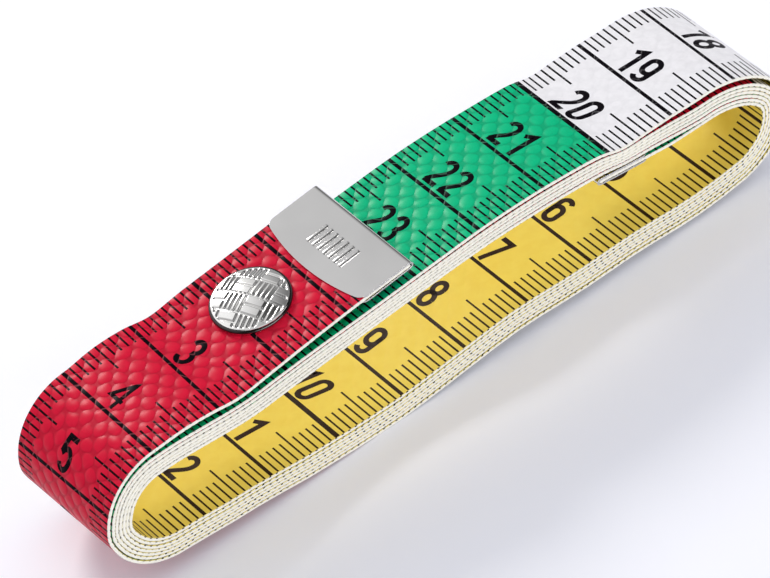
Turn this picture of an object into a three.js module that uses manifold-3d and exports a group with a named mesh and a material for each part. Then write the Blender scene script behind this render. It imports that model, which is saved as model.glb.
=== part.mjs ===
// Cloth tape measure, wound into a flattened coil that a press stud keeps closed.
// Millimetres, +Z up. +X runs along the coil and +Y across the tape. The coil stands on its flat lower run,
// and the origin is the middle of its footprint. The tape's zero end lies on top and runs towards -X.
import * as THREE from 'three';
import { mergeVertices } from 'three/addons/utils/BufferGeometryUtils.js';
import Module from 'manifold-3d';

const wasm = await Module();
wasm.setup();

// Tape
const TAPE_WIDTH = 19;
const TAPE_THICKNESS = 0.3;
const WINDING_GAP = 0.41; // air between one lap and the next
const LAPS = 7;

// Coil, measured on the outer face of its outermost lap
const COIL_LENGTH = 105.75;
const COIL_HEIGHT = 19; // where the left fold begins
const SHOULDER_DROP = 2.1; // where the right fold ends, below the coil height
const SHOULDER_STRETCH = 1.4; // length to height of the right fold's drooping upper half
const CROWN_RIGHT_HANDLE = 8; // how long the crown stays level at its right end
const CROWN_LEFT_HANDLE = 32; // how long it keeps the stud seat's slope at its left end
const STEP_START = 0.7; // share of the crown after which a lap passes under the one before it

// Free end with the press stud
const FREE_END_SLOPE = THREE.MathUtils.degToRad(4.2);
const FOLD_TO_SNAP = 22.5; // from the start of the left fold to the press stud
const SNAP_DIP = 0.82; // stud seat's top lap below the coil height
const SNAP_ASIDE = 0.8; // press stud past the middle of the tape's width
const SEAT_MARGIN = 1.6; // straight tape round the stud's flange
const TAIL_MARGIN = 3; // straight tape past the cap, on the fold's side
const CAP_MARGIN = 2; // bare tape between the cap and the end clip

// Press stud
const FIT = 0.08; // play between pieces that are clamped together
const SNAP_AIR = 0.1; // socket above the stud's flange
const CAP_RADIUS = 5.3;
const CAP_HEIGHT = 1.5;
const CAP_WALL = 0.3;
const CAP_LIP = 0.6; // how far the cap's rim is turned in under the rivet's flange
const RIVET_RADIUS = 1.3;
const RIVET_BORE = 0.8;
const RIVET_WALL = 0.25;
const RIVET_FLARE = 0.9; // how far the rivet's end is rolled out
const SOCKET_RADIUS = 4;
const SOCKET_HEIGHT = 1.55;
const SOCKET_WALL = 0.25;
const SOCKET_SIDE = 0.7;
const STUD_FLANGE_RADIUS = 3.8;
const STUD_WALL = 0.2;
const STUD_NECK_RADIUS = 1.45;
const STUD_HEAD_SWELL = 0.3; // head's radius past the neck's
const STUD_CLEARANCE = 0.3; // head to the socket's mouth
const SPRING_WIRE_RADIUS = 0.14;
const SPRING_GRIP = 0.06; // ring's inside short of the head's radius
const SPRING_OPENING = THREE.MathUtils.degToRad(50);
const EYELET_FLANGE_RADIUS = 3.6;
const EYELET_BORE = 0.65;

// End clips, folded from sheet metal
const CLIP_SHEET = 0.25;
const CLIP_FIT = 0.06;
const CLIP_SIDE = 8; // along the tape's edges
const CLIP_REACH = 10; // at the top of its arch
const CLIP_CORNER = 0.6;

// Inner end
const INNER_END_MARGIN = 1.2; // bare tape between the inner clip and the bend
const INNER_END_DROOP = THREE.MathUtils.degToRad(1.5);
const INNER_BEND = 0.2; // share of the crown that the last lap follows before it bends away

const SEAM = 0.3; // gap where an end of the tape bends away from the coil

// Facets
const ROUND_SIDES = 28;
const CURVE_STEPS = 10;
const FOLD_STEPS = 8; // to each quarter of a fold

// Derived sizes
const PITCH = TAPE_THICKNESS + WINDING_GAP;
const EYELET_RADIUS = STUD_NECK_RADIUS - STUD_WALL - FIT;
const SNAP_STACK = FIT + SOCKET_HEIGHT + SNAP_AIR + STUD_WALL + FIT;
const SNAP_FROM_END = CLIP_REACH + CAP_MARGIN + CAP_RADIUS;
const INNER_END_LENGTH = CLIP_REACH + INNER_END_MARGIN;
const FREE_END_RISE = SNAP_STACK + TAPE_THICKNESS - PITCH;

function paint(color, roughness, metalness) {
  return new THREE.MeshStandardMaterial({ color, roughness, metalness });
}
const MATERIALS = {
  white: paint(0xeceae2, 0.5, 0),
  red: paint(0xd7233c, 0.4, 0),
  yellow: paint(0xf2c83c, 0.5, 0),
  nickel: paint(0xc9c8c4, 0.28, 1),
  spring: paint(0x8f8c86, 0.35, 1),
};

// A closed mesh's geometry as a solid for joining and cutting
function solidOf(geometry) {
  const bare = geometry.clone();
  bare.deleteAttribute('normal');
  bare.deleteAttribute('uv');
  const merged = mergeVertices(bare);
  return new wasm.Manifold(new wasm.Mesh({
    numProp: 3,
    vertProperties: new Float32Array(merged.attributes.position.array),
    triVerts: new Uint32Array(merged.index.array),
  }));
}

function geometryOf(solid) {
  const mesh = solid.getMesh();
  const geometry = new THREE.BufferGeometry();
  geometry.setAttribute('position', new THREE.BufferAttribute(mesh.vertProperties, 3));
  geometry.setIndex(new THREE.BufferAttribute(mesh.triVerts, 1));
  geometry.computeVertexNormals();
  return geometry;
}

// The outer face's path, seen from the near edge: x along the coil, y up
const halfLength = COIL_LENGTH / 2;
const leftRadius = COIL_HEIGHT / 2;
const rightRadius = (COIL_HEIGHT - SHOULDER_DROP) / 2;
const shoulderLength = rightRadius * SHOULDER_STRETCH;

const foldStart = new THREE.Vector2(-halfLength + leftRadius, COIL_HEIGHT);
const shoulder = new THREE.Vector2(halfLength - shoulderLength, COIL_HEIGHT - SHOULDER_DROP);
const slope = new THREE.Vector2(Math.cos(FREE_END_SLOPE), Math.sin(FREE_END_SLOPE));
const slopeNormal = new THREE.Vector2(-slope.y, slope.x);
const seat = new THREE.Vector2(foldStart.x + FOLD_TO_SNAP, COIL_HEIGHT - SNAP_DIP);
const seatHalf = STUD_FLANGE_RADIUS + SEAT_MARGIN;

const along = (start, direction, distance) => start.clone().addScaledVector(direction, distance);
const seatRight = along(seat, slope, seatHalf);
const seatLeft = along(seat, slope, -seatHalf);

// A curve between two points that leaves and arrives along given directions
function easedCurve(start, leave, leaveHandle, end, arrive, arriveHandle) {
  return new THREE.CubicBezierCurve(
    start,
    along(start, leave, leaveHandle),
    along(end, arrive, -arriveHandle),
    end,
  );
}

const LEFT = new THREE.Vector2(-1, 0);
const downSlope = slope.clone().negate();
const thirdOf = (a, b) => a.distanceTo(b) / 3;

const quarter = (x, y, rx, ry, turn) => new THREE.EllipseCurve(
  x, y, rx, ry, turn * Math.PI / 2, (turn + 1) * Math.PI / 2, false,
);

// One lap, from the start of the left fold round to itself. On the crown a lap steps in by one pitch.
const crown = {
  curve: easedCurve(shoulder, LEFT, CROWN_RIGHT_HANDLE, seatRight, downSlope, CROWN_LEFT_HANDLE),
  steps: CURVE_STEPS,
  inset: (t) => THREE.MathUtils.smoothstep(t, STEP_START, 1),
};
const lowerRun = new THREE.LineCurve(
  new THREE.Vector2(-halfLength + leftRadius, 0),
  new THREE.Vector2(halfLength - rightRadius, 0),
);
const towardsFold = thirdOf(seatLeft, foldStart);
const LAP = [
  { curve: quarter(foldStart.x, leftRadius, leftRadius, leftRadius, 1), steps: FOLD_STEPS },
  { curve: quarter(foldStart.x, leftRadius, leftRadius, leftRadius, 2), steps: FOLD_STEPS },
  { curve: lowerRun, steps: 2 },
  { curve: quarter(halfLength - rightRadius, rightRadius, rightRadius, rightRadius, 3), steps: FOLD_STEPS },
  { curve: quarter(shoulder.x, rightRadius, shoulderLength, rightRadius, 0), steps: FOLD_STEPS },
  crown,
  { curve: new THREE.LineCurve(seatRight, seatLeft), steps: 1, inset: () => 1 },
  {
    curve: easedCurve(seatLeft, downSlope, towardsFold, foldStart, LEFT, towardsFold),
    steps: FOLD_STEPS,
    inset: () => 1,
  },
];

// A point of the tape's outer face, and the direction out of that face
function ringAt({ curve, inset = () => 0 }, lap, t) {
  const tangent = curve.getTangent(t);
  const normal = new THREE.Vector2(tangent.y, -tangent.x);
  const depth = PITCH * (lap + inset(t));
  return { point: along(curve.getPoint(t), normal, -depth), normal };
}

// The wound tape, from the left fold under the free end to the bend of the inner end
function coilRings() {
  const rings = [];
  const last = LAPS - 1;
  for (let lap = 0; lap < LAPS; lap += 1) {
    const stretches = lap < last ? LAP : LAP.slice(0, LAP.indexOf(crown));
    for (const stretch of stretches) {
      for (let i = 0; i < stretch.steps; i += 1) {
        rings.push(ringAt(stretch, lap, i / stretch.steps));
      }
    }
  }
  rings.push(ringAt(crown, last, 0), ringAt(crown, last, INNER_BEND / 2), ringAt(crown, last, INNER_BEND));
  return rings;
}

// The free end: straight under the clip and the press stud, then eased into the left fold
const snap = along(seat, slopeNormal, FREE_END_RISE);
function freeEndRings() {
  const start = along(snap, slope, SNAP_FROM_END - CLIP_SHEET - CLIP_FIT);
  const tail = along(snap, slope, -CAP_RADIUS - TAIL_MARGIN);
  const end = new THREE.Vector2(foldStart.x + SEAM, foldStart.y);
  const bend = easedCurve(tail, downSlope, thirdOf(tail, end), end, LEFT, thirdOf(tail, end));
  const rings = [{ point: start, normal: slopeNormal }];
  for (let i = 0; i <= CURVE_STEPS; i += 1) {
    const tangent = bend.getTangent(i / CURVE_STEPS);
    rings.push({ point: bend.getPoint(i / CURVE_STEPS), normal: new THREE.Vector2(tangent.y, -tangent.x) });
  }
  return rings;
}

const innerPoint = ({ point, normal }) => along(point, normal, -TAPE_THICKNESS);

// A band of tape through the rings, as one closed body
function ribbon(rings) {
  const near = -TAPE_WIDTH / 2;
  const far = TAPE_WIDTH / 2;
  const positions = [];
  for (const ring of rings) {
    const inner = innerPoint(ring);
    positions.push(ring.point.x, near, ring.point.y, ring.point.x, far, ring.point.y);
    positions.push(inner.x, far, inner.y, inner.x, near, inner.y);
  }
  const index = [];
  for (let i = 0; i + 1 < rings.length; i += 1) {
    for (let side = 0; side < 4; side += 1) {
      const a = 4 * i + side;
      const b = 4 * i + (side + 1) % 4;
      index.push(a, b, b + 4, a, b + 4, a + 4);
    }
  }
  const last = 4 * (rings.length - 1);
  index.push(0, 2, 1, 0, 3, 2, last, last + 1, last + 2, last, last + 2, last + 3);
  const geometry = new THREE.BufferGeometry();
  geometry.setAttribute('position', new THREE.Float32BufferAttribute(positions, 3));
  geometry.setIndex(index);
  geometry.computeVertexNormals();
  return geometry;
}

// Least air between two laps: outer-face points against the inner-face edges half a lap away or more
function leastGap(rings) {
  const apart = LAP.reduce((sum, stretch) => sum + stretch.steps, 0) / 2;
  const closest = new THREE.Vector3();
  let least = Infinity;
  rings.forEach((ring, i) => {
    const point = new THREE.Vector3(ring.point.x, ring.point.y, 0);
    for (let k = 0; k + 1 < rings.length; k += 1) {
      if (Math.abs(i - k) > apart) {
        const a = innerPoint(rings[k]);
        const b = innerPoint(rings[k + 1]);
        new THREE.Line3(new THREE.Vector3(a.x, a.y, 0), new THREE.Vector3(b.x, b.y, 0))
          .closestPointToPoint(point, true, closest);
        least = Math.min(least, closest.distanceTo(point));
      }
    }
  });
  return least;
}

function pathLength(rings) {
  return rings.slice(1).reduce((sum, ring, i) => sum + ring.point.distanceTo(rings[i].point), 0);
}

// A round piece from its half section, given as [radius, height] pairs
function turned(profile) {
  const points = profile.map(([radius, height]) => new THREE.Vector2(radius, height));
  return new THREE.LatheGeometry(points, ROUND_SIDES).rotateX(Math.PI / 2);
}

function postHole(radius, top, bottom) {
  const hole = new THREE.CylinderGeometry(radius, radius, top - bottom, ROUND_SIDES).rotateX(Math.PI / 2);
  return hole.translate(0, 0, (top + bottom) / 2);
}

// Heights along the press stud's axis, from the free end's outer face
const socketTop = -TAPE_THICKNESS - FIT;
const socketBottom = socketTop - SOCKET_HEIGHT;
const socketWeb = socketTop - SOCKET_WALL;
const rivetEnd = socketWeb - FIT - STUD_WALL;
const headTop = rivetEnd - FIT;
const flangeTop = socketBottom - SNAP_AIR;
const flangeBottom = flangeTop - STUD_WALL;
const secondLap = flangeBottom - FIT;
const eyeletTop = secondLap - TAPE_THICKNESS - FIT;
const eyeletBottom = eyeletTop - STUD_WALL;
const headRadius = STUD_NECK_RADIUS + STUD_HEAD_SWELL;
const headChamfer = STUD_HEAD_SWELL / 2;
const headUnder = headTop - headChamfer - STUD_WALL / 2;
const neckTop = headUnder - STUD_HEAD_SWELL;
const rivetFlange = FIT + CAP_WALL + FIT;
const capInside = CAP_RADIUS - CAP_WALL;

// Domed shell whose rim is turned in under the rivet's flange
function capGeometry() {
  const rimTop = rivetFlange + RIVET_WALL + FIT;
  const dome = (radius, top) => new THREE.EllipseCurve(0, rimTop, radius, top - rimTop, 0, Math.PI / 2)
    .getPoints(CURVE_STEPS / 2)
    .map(({ x, y }) => [x, y]);
  const outside = dome(CAP_RADIUS, FIT + CAP_HEIGHT);
  const inside = dome(capInside, FIT + CAP_HEIGHT - CAP_WALL).reverse();
  outside.at(-1)[0] = 0;
  inside[0][0] = 0;
  return turned([
    ...inside,
    [capInside, FIT + CAP_WALL],
    [capInside - CAP_LIP, FIT + CAP_WALL],
    [capInside - CAP_LIP, FIT],
    [capInside, FIT],
    [CAP_RADIUS, FIT + CAP_WALL],
    ...outside,
  ]);
}

// Tubular rivet: flange inside the cap, barrel through tape and socket, end rolled out
function rivetGeometry() {
  const flange = capInside - FIT;
  return turned([
    [RIVET_BORE, rivetEnd],
    [RIVET_RADIUS + RIVET_FLARE, rivetEnd],
    [RIVET_RADIUS + RIVET_FLARE, rivetEnd + STUD_WALL],
    [RIVET_RADIUS, rivetEnd + STUD_WALL],
    [RIVET_RADIUS, rivetFlange],
    [flange, rivetFlange],
    [flange, rivetFlange + RIVET_WALL],
    [RIVET_BORE, rivetFlange + RIVET_WALL],
    [RIVET_BORE, rivetEnd],
  ]);
}

// Cup with a hole for the rivet, and a lip that keeps the spring in
function socketGeometry() {
  const mouth = headRadius + STUD_CLEARANCE;
  const inside = SOCKET_RADIUS - SOCKET_SIDE;
  return turned([
    [mouth, socketBottom],
    [SOCKET_RADIUS, socketBottom],
    [SOCKET_RADIUS, socketTop],
    [RIVET_RADIUS + FIT, socketTop],
    [RIVET_RADIUS + FIT, socketWeb],
    [inside, socketWeb],
    [inside, socketBottom + SOCKET_WALL],
    [mouth, socketBottom + SOCKET_WALL],
    [mouth, socketBottom],
  ]);
}

// Open wire ring under the stud's head
function springGeometry() {
  const centre = headRadius - SPRING_GRIP + SPRING_WIRE_RADIUS;
  const height = socketBottom + SOCKET_WALL + SPRING_WIRE_RADIUS + FIT / 2;
  const points = [];
  for (let i = 0; i <= ROUND_SIDES; i += 1) {
    const angle = SPRING_OPENING / 2 + (2 * Math.PI - SPRING_OPENING) * (i / ROUND_SIDES);
    points.push(new THREE.Vector3(centre * Math.cos(angle), centre * Math.sin(angle), height));
  }
  const section = new THREE.Shape().absarc(0, 0, SPRING_WIRE_RADIUS, 0, 2 * Math.PI);
  return new THREE.ExtrudeGeometry(section, {
    steps: ROUND_SIDES,
    curveSegments: 3,
    extrudePath: new THREE.CatmullRomCurve3(points),
  });
}

// Hollow stud: flange on the second lap, neck, and a head that the ring grips
function studGeometry() {
  const bore = STUD_NECK_RADIUS - STUD_WALL;
  return turned([
    [0, headTop - STUD_WALL],
    [headRadius - STUD_WALL - headChamfer, headTop - STUD_WALL],
    [headRadius - STUD_WALL, headUnder],
    [bore, neckTop],
    [bore, flangeBottom],
    [STUD_FLANGE_RADIUS, flangeBottom],
    [STUD_FLANGE_RADIUS, flangeTop],
    [STUD_NECK_RADIUS, flangeTop],
    [STUD_NECK_RADIUS, neckTop],
    [headRadius, headUnder],
    [headRadius, headTop - headChamfer],
    [headRadius - headChamfer, headTop],
    [0, headTop],
  ]);
}

// Tubular eyelet: flange under the second lap, barrel up into the stud's head, end rolled out
function eyeletGeometry() {
  const end = headTop - STUD_WALL - FIT;
  const flare = STUD_HEAD_SWELL - FIT;
  return turned([
    [EYELET_BORE, eyeletBottom],
    [EYELET_FLANGE_RADIUS, eyeletBottom],
    [EYELET_FLANGE_RADIUS, eyeletTop],
    [EYELET_RADIUS, eyeletTop],
    [EYELET_RADIUS, end - flare],
    [EYELET_RADIUS + flare, end],
    [EYELET_BORE, end],
    [EYELET_BORE, eyeletBottom],
  ]);
}

// Sheet folded round the tape's end, open along the tape's edges, with an arched mouth. Its fold is at x = 0.
function clipGeometry() {
  const half = TAPE_WIDTH / 2;
  const outline = new THREE.Shape()
    .moveTo(-CLIP_SIDE, -half)
    .lineTo(-CLIP_CORNER, -half)
    .absarc(-CLIP_CORNER, -half + CLIP_CORNER, CLIP_CORNER, -Math.PI / 2, 0)
    .absarc(-CLIP_CORNER, half - CLIP_CORNER, CLIP_CORNER, 0, Math.PI / 2)
    .lineTo(-CLIP_SIDE, half)
    .quadraticCurveTo(CLIP_SIDE - 2 * CLIP_REACH, 0, -CLIP_SIDE, -half);
  const room = TAPE_THICKNESS + 2 * CLIP_FIT;
  const body = new THREE.ExtrudeGeometry(outline, {
    depth: room + 2 * CLIP_SHEET,
    curveSegments: CURVE_STEPS,
    bevelEnabled: false,
  });
  body.translate(0, 0, -TAPE_THICKNESS - CLIP_FIT - CLIP_SHEET);
  const pocket = new THREE.BoxGeometry(2 * CLIP_REACH, 2 * TAPE_WIDTH, room);
  pocket.translate(-CLIP_REACH - CLIP_SHEET, 0, -TAPE_THICKNESS / 2);
  return geometryOf(solidOf(body).subtract(solidOf(pocket)));
}

function named(name, geometry, material) {
  const mesh = new THREE.Mesh(geometry, material);
  mesh.name = name;
  return mesh;
}

// The free end's frame: +x towards the zero end, +z out of the outer face, with the press stud at its middle
const freeEndGroup = new THREE.Group();
freeEndGroup.position.set(snap.x, 0, snap.y);
freeEndGroup.rotation.y = -FREE_END_SLOPE;
const snapGroup = new THREE.Group();
snapGroup.position.y = SNAP_ASIDE;
freeEndGroup.add(snapGroup);
freeEndGroup.updateMatrixWorld(true);

function punched(rings, radius, top, bottom) {
  const hole = postHole(radius, top, bottom).applyMatrix4(snapGroup.matrixWorld);
  return geometryOf(solidOf(ribbon(rings)).subtract(solidOf(hole)));
}

const coil = coilRings();
const freeEnd = freeEndRings();
const tapeCoil = named(
  'tape_coil',
  punched(coil, EYELET_RADIUS + FIT, secondLap + FIT, eyeletTop + FIT / 2),
  MATERIALS.white,
);
const tapeFreeEnd = named(
  'tape_free_end',
  punched(freeEnd, RIVET_RADIUS + FIT, FIT, socketTop),
  MATERIALS.red,
);

const endClip = named('end_clip', clipGeometry(), MATERIALS.nickel);
endClip.position.x = SNAP_FROM_END;
freeEndGroup.add(endClip);
snapGroup.add(
  named('snap_cap', capGeometry(), MATERIALS.nickel),
  named('cap_rivet', rivetGeometry(), MATERIALS.nickel),
  named('snap_socket', socketGeometry(), MATERIALS.nickel),
  named('socket_spring', springGeometry(), MATERIALS.spring),
  named('snap_stud', studGeometry(), MATERIALS.nickel),
  named('stud_eyelet', eyeletGeometry(), MATERIALS.nickel),
);

// The inner end's frame: +x from its bend to its tip, +z out of the tape's outer face
const bend = coil.at(-1);
const innerGroup = new THREE.Group();
innerGroup.position.set(bend.point.x, 0, bend.point.y);
innerGroup.rotation.y = Math.atan2(bend.normal.x, bend.normal.y) - INNER_END_DROOP;
const turnedRound = new THREE.Group();
turnedRound.rotation.z = Math.PI;
innerGroup.add(turnedRound);

const innerTape = INNER_END_LENGTH - CLIP_SHEET - CLIP_FIT - SEAM;
const tapeInnerEnd = named(
  'tape_inner_end',
  new THREE.BoxGeometry(innerTape, TAPE_WIDTH, TAPE_THICKNESS),
  MATERIALS.yellow,
);
tapeInnerEnd.position.set(SEAM + innerTape / 2, 0, -TAPE_THICKNESS / 2);
const innerClip = named('inner_end_clip', clipGeometry(), MATERIALS.nickel);
innerClip.position.x = INNER_END_LENGTH;
turnedRound.add(tapeInnerEnd, innerClip);

const tapeLength = pathLength(freeEnd) + SEAM + pathLength(coil) + SEAM + innerTape;
console.log(`tape length ${tapeLength.toFixed(1)} mm, least gap in the coil ${leastGap(coil).toFixed(3)} mm`);

const tapeMeasure = new THREE.Group();
tapeMeasure.add(tapeCoil, tapeFreeEnd, freeEndGroup, innerGroup);
export default tapeMeasure;
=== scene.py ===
import bisect
import math
from collections import namedtuple

import bpy
from mathutils import Matrix, Vector


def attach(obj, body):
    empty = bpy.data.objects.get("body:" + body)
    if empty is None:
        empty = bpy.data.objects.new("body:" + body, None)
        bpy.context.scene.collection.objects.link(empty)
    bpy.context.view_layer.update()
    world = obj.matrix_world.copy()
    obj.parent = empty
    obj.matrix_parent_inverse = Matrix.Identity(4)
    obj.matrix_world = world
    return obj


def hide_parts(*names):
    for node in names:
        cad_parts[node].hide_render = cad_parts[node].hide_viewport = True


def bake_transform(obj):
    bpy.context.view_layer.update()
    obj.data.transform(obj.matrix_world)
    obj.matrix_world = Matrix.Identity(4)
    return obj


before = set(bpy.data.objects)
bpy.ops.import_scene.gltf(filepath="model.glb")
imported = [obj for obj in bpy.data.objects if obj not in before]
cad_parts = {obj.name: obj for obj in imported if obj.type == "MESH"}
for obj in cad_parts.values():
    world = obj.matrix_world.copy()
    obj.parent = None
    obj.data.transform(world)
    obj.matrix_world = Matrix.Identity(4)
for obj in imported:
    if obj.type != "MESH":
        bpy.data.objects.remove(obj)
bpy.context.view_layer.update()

MM = 0.001

# Tape
TAPE_WIDTH = 19
TAPE_THICKNESS = 0.47
EDGE_ROUND = 0.08
PITCH = 0.505  # one lap to the next
LAPS = 7
SIDEWAYS_DRIFT = 0.045  # how far a lap's edges wander
LONG_DRIFT = 41  # length of tape to a radian of the slow wander
SHORT_DRIFT = 13  # and of the quick one
SHORT_SHARE = 0.6
FREE_END_STEPS = 32  # of the mesh, on either side of the free end's tail
INNER_END_STEPS = 16

# The outer face's path, as in the solids
HALF_LENGTH = 52.875
COIL_HEIGHT = 19
SHOULDER_DROP = 2.1
SHOULDER_STRETCH = 1.4
CROWN_RIGHT_HANDLE = 8
CROWN_LEFT_HANDLE = 32
STEP_START = 0.7
FREE_END_SLOPE = math.radians(4.2)
FOLD_TO_SNAP = 22.5
SNAP_DIP = 0.82
SNAP_ASIDE = 1.05
SEAT_HALF = 5.4
FREE_END_RISE = 1.6
FREE_END_LIFT = 0.09  # the thicker tape's outer face above the solid's
TAIL = 8.3  # straight tape on the fold's side of the press stud
SNAP_FROM_END = 17.3
END_IN_CLIP = 0.31  # from the clip's fold to the end of the tape
INNER_BEND = 0.2
INNER_BEND_DEPTH = 4  # outer face at the inner bend, below the outer lap's
INNER_END_RISE = math.radians(7.2)
INNER_END_LENGTH = 11.2

# Air under the outer lap, at the start and the end of each stretch of a lap
AIR = {
    "left_top": (0.8, 0.3),
    "left_bottom": (0.3, 0.05),
    "bottom": (0.05, 0.08),
    "right_bottom": (0.08, 0.5),
    "right_top": (0.5, 0.75),
    "crown": (0.75, 0.2),
    "seat": (0.2, 0.2),
    "to_fold": (0.2, 0.8),
}
AIR_CLOSES = 0.4  # share of the crown after which the outer lap lies close

# The wound tape isn't quite flat: (x, rise) of its upper and lower runs
TOP_WAVE = (
    (-53, 0), (-43.4, 0.1), (-38, 0.1), (-31, 0.15), (-26, 0.3), (-19, 0.28), (-10, 0.05), (0, -0.03),
    (10, 0.2), (15, 0.28), (20, 0.22), (25, 0.02), (28.3, -0.62), (32, -0.25), (36, 0.15), (41, 0.32),
    (46, 0.32), (53, 0.2),
)
BOTTOM_WAVE = (
    (-53, 1.2), (-43.4, 1.25), (-36, 0.6), (-31, 0.3), (-25, -0.4), (-12, -1), (-4, -0.5), (8, 0.5),
    (18, 0.1), (27, 0.15), (36, -0.35), (43, 0.05), (47, 0.65), (53, 0.9),
)
WAVES_MEET = (6, 12)  # heights between which one wave gives way to the other
INNER_WAVE = 0.3  # share of the upper wave that the innermost lap has

# The free end's lie: (x, rise, aside, roll in degrees with the far edge up)
FREE_END_SWAY = (
    (-43.375, 0.1, 0, 1.9), (-39, 0.6, -0.05, 3.3), (-35, 0.5, -0.15, 3.8), (-31, -0.18, -0.18, 3.2),
    (-26, -0.03, -0.1, 3.4), (-20.9, 0.05, 0, 2.9), (-13, 0.12, 0.15, 2.6), (-3.7, 0.15, 0.3, 3.4),
)
FREE_END_YAW = math.radians(1)  # of its tip

# Roll of the outer lap's upper run about its near edge, with the far edge up: (x, degrees)
OUTER_ROLL = ((18, 0), (24, 0.6), (30, 1.2), (38, 1.4), (46, 1.1), (50, 0.4), (53, 0))
ROLL_FADES = 30  # millimetres of the coil over which the roll runs out
SLACK = 1.2  # length that small folds in the first lap take up
SLACK_RUN = (10, 110)  # where they are, from the start of the coil

# Scales. The coloured side counts from the outer end and the yellow side from the inner end.
CENTIMETRE = 10
YELLOW_SHIFT = -1.25

# Lengths of the marks from the near and the far edge, and their widths
Marks = namedtuple("Marks", "near near_five far far_five tick line tens_line")
COLOURED_MARKS = Marks(
    near=3.85, near_five=6.0, far=3.0, far_five=5.1, tick=0.27, line=0.52, tens_line=0.75,
)
YELLOW_MARKS = Marks(
    near=4.15, near_five=6.25, far=3.0, far_five=5.2, tick=0.26, line=0.5, tens_line=0.68,
)

# Numbers of the coloured and the yellow side
FREE_END_NUMBERS = ((3, 4), (147,))
COIL_NUMBERS = (range(5, 28), range(2, 20))
NUMBER_CENTRE = (0.7, 1.05)  # past the middle of the width
NUMBER_GAP = (0.62, 0.5)  # from the centimetre line to the number's foot
DIGIT_WIDTH = 1.72
DIGIT_HEIGHT = 4.1
STROKE = 0.74
THIN_STROKE = 0.54  # of the four, whose eye is small
DIGIT_SPACE = 0.5
SLANT = math.tan(math.radians(13))  # of the tens
NECK_STEPS = 12  # of the slanting line of a two
HOOK_END = -155  # degrees at which the open end of a five or a nine stops
LEAST_MITRE = 0.5  # so that a sharp corner runs out to twice the stroke's width at most
INK_LIFT = 0.012  # of a stroke's top, above the tape
INK_SINK = 0.03  # of its underside, in the tape

# Clips
CLIP_SHEET = 0.22
CLIP_AIR = 0.05
CLIP_SIDE = 8.1
CLIP_REACH = 9.5  # in the middle of its arched mouth
CLIP_FOLD = 0.7  # how far back its fold is round
CLIP_MOUTH_CORNER = 1
CLIP_STATIONS = 48  # of its mesh, across the tape
CLIP_BEVEL = 0.015
CLIP_BEVEL_STEPS = 3
RIB_COUNT = 7
RIB_SPACING = 1.05
RIB_LENGTH = 3.4
RIB_WIDTH = 0.62
RIB_HEIGHT = 0.16
RIB_MIDDLE = 5  # from the clip's fold
RIB_SIDES = 24
RIB_SECTION = ((1, -0.25), (1, 0), (0.86, 0.5), (0.6, 0.87), (0.25, 1))  # shares of its width and height

# Press stud
CAP_RADIUS = 5.3
CAP_TOP = 1.75
CAP_DOME = 1.0  # fall of the dome from its middle to its rim
CAP_SHOULDER = 0.93  # share of the radius where the dome turns down into the rim
CAP_RIM = 0.5  # height of the cap's widest line
CAP_UNDER = ((0.99, 0.25), (0.95, 0.1), (0.8, 0.1))  # share of the radius, and height, below that line
RELIEF_DEPTH = 0.24
RELIEF_FIELD = 4.75  # radius of the woven part
RELIEF_FADE = 0.2  # width of the edge over which the relief rises from the plain rim
WEAVE_CELL = 2.7
WEAVE_RIBS = (2, 4)  # bars side by side, in the cells of either direction
WEAVE_TURN = math.radians(24)
WEAVE_FLANK = (0.02, 0.08)  # share of a cell where a bar's side begins and ends


def srgb(red, green, blue):
    """A display colour as the linear values that shaders take."""
    def linear(value):
        share = value / 255
        return share / 12.92 if share <= 0.04045 else ((share + 0.055) / 1.055) ** 2.4
    return linear(red), linear(green), linear(blue), 1


RED = srgb(217, 18, 54)
WHITE = srgb(240, 239, 239)
GREEN = srgb(0, 190, 130)
YELLOW = srgb(247, 226, 104)
YELLOW_GRAIN = srgb(239, 211, 86)
CREAM = srgb(240, 239, 231)
CREAM_GRAIN = srgb(231, 228, 216)
CREAM_BY_YELLOW = srgb(234, 217, 130)
BLACK_INK = srgb(14, 10, 16)
BROWN_INK = srgb(42, 22, 6)
# grey of a painted glint, shown where the ink is worn at the grooves
INK_GAP_PAINTED_GLINT = srgb(150, 140, 140)
NICKEL = srgb(218, 217, 217)
BRIGHT_NICKEL = srgb(246, 245, 244)
# painted dark reflection on the cap rim's turn
NICKEL_PAINTED_DARK_REFLECTION = srgb(76, 72, 73)
STEEL = srgb(150, 147, 142)


# Path of the tape, as points seen from the near edge: x along the coil, y up

def mix(a, b, share):
    return a + (b - a) * share


def ease(value, low, high):
    share = min(max((value - low) / (high - low), 0), 1)
    return share * share * (3 - 2 * share)


def quarter(centre, width, height, turn):
    def at(share):
        angle = (turn + share) * math.pi / 2
        point = centre + Vector((width * math.cos(angle), height * math.sin(angle)))
        return point, Vector((-width * math.sin(angle), height * math.cos(angle))).normalized()
    return at


def straight(start, end):
    def at(share):
        return start.lerp(end, share), (end - start).normalized()
    return at


def eased(start, leave, leave_handle, end, arrive, arrive_handle):
    first = start + leave * leave_handle
    second = end - arrive * arrive_handle

    def at(share):
        rest = 1 - share
        point = start * rest ** 3 + first * (3 * rest ** 2 * share)
        point += second * (3 * rest * share ** 2) + end * share ** 3
        tangent = (first - start) * rest ** 2 + (second - first) * (2 * rest * share)
        tangent += (end - second) * share ** 2
        return point, tangent.normalized()
    return at


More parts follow.
